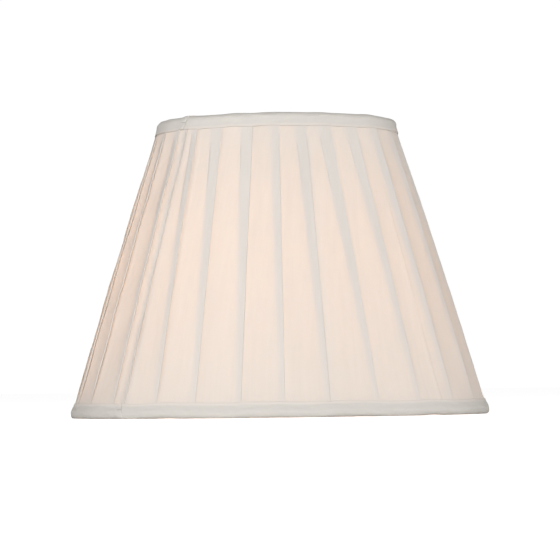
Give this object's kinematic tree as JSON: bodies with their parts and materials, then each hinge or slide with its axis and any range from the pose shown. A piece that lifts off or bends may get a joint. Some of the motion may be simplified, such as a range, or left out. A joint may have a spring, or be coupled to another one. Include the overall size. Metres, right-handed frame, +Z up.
{
  "type": "lamp shade",
  "caption": "Tapered round lamp shade of knife-pleated cloth on a wire frame, with trimmed rims, a lining and a swivelling gimbal fitter.",
  "frame": {"origin": "centre of the bottom rim, on the surface that the shade stands on", "axes": "+Z up along the shade's axis and the lampholder hole, -Y the front, X along the gimbal's swivel pins"},
  "size_m": [0.4064, 0.4064, 0.286],
  "materials": {
    "pleated_silk": "satin",
    "trim_silk": "satin",
    "lining_cloth": "matte",
    "binding_tape": "matte",
    "frame_wire": "gloss",
    "plated_steel": "satin",
    "white_plastic": "matte"
  },
  "bodies": {
    "shade": {"pleated_cover": "pleated_silk", "lining": "lining_cloth", "top_trim": "trim_silk", "bottom_trim": "trim_silk", "top_ring": "frame_wire", "bottom_ring": "frame_wire", "top_ring_binding": "binding_tape", "bottom_ring_binding": "binding_tape", "strut_1": "frame_wire", "strut_2": "frame_wire", "strut_3": "frame_wire", "strut_4": "frame_wire", "strut_5": "frame_wire", "strut_6": "frame_wire", "gimbal_arm_left": "frame_wire", "gimbal_arm_right": "frame_wire", "pivot_rivet_left": "plated_steel", "pivot_rivet_right": "plated_steel"},
    "gimbal": {"gimbal_ring": "plated_steel"},
    "reducer": {"reducer_ring": "white_plastic"}
  },
  "joints": [
    {"name": "gimbal_swivel", "type": "hinge", "parent": "shade", "child": "gimbal", "pos_m": [0, 0, 0.216], "axis": [1, 0, 0], "continuous": true},
    {"name": "reducer_lift", "type": "slide", "parent": "gimbal", "child": "reducer", "axis": [0, 0, 1], "range_m": [0, 0.03]}
  ]
}
